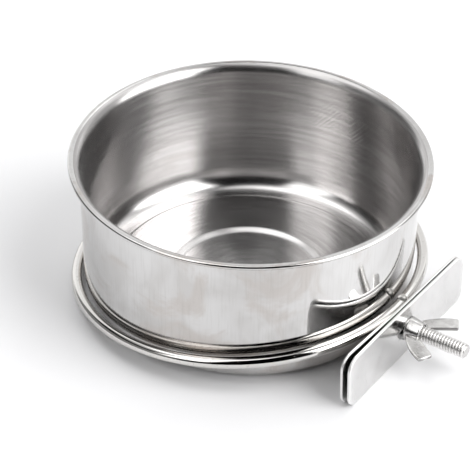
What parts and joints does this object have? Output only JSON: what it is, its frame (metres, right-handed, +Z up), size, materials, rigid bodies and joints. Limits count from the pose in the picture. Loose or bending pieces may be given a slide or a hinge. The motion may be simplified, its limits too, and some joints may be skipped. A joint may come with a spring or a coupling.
{
  "type": "seed cup",
  "caption": "Round steel food cup with a rolled rim, loose in a wire ring holder that clamps to a cage bar between plates drawn together by a bolt and wing nut.",
  "frame": {"origin": "middle of the cup's base, on the surface that the cup stands on", "axes": "+Z up along the cup's axis, +X towards the clamp, level"},
  "size_m": [0.1583, 0.132, 0.055],
  "materials": {
    "cup_steel": "satin",
    "wire_steel": "polished",
    "weld_metal": "rough",
    "plate_steel": "polished",
    "bolt_steel": "polished",
    "nut_steel": "satin"
  },
  "bodies": {
    "holder": {"holder_ring": "wire_steel", "seam_weld": "weld_metal", "plate_welds": "weld_metal", "fixed_plate": "plate_steel", "clamp_bolt": "bolt_steel"},
    "cup": {"cup": "cup_steel"},
    "loose_plate": {"loose_plate": "plate_steel"},
    "wing_nut": {"wing_nut": "nut_steel"}
  },
  "joints": [
    {"name": "cup_lift", "type": "slide", "parent": "holder", "child": "cup", "axis": [0, 0, 1], "range_m": [-0.033, 0.06]},
    {"name": "plate_slide", "type": "slide", "parent": "holder", "child": "loose_plate", "axis": [0.999, 0, 0.0436], "range_m": [0, 0.0174]},
    {"name": "nut_turn", "type": "hinge", "parent": "loose_plate", "child": "wing_nut", "pos_m": [0.06968, 0, 0.01014], "axis": [0.999, 0, 0.0436], "range_deg": [0, 5494.7]}
  ],
  "couplings": [
    {"joint": "nut_turn", "follows": "plate_slide", "rad_per_m": 5511.6}
  ]
}
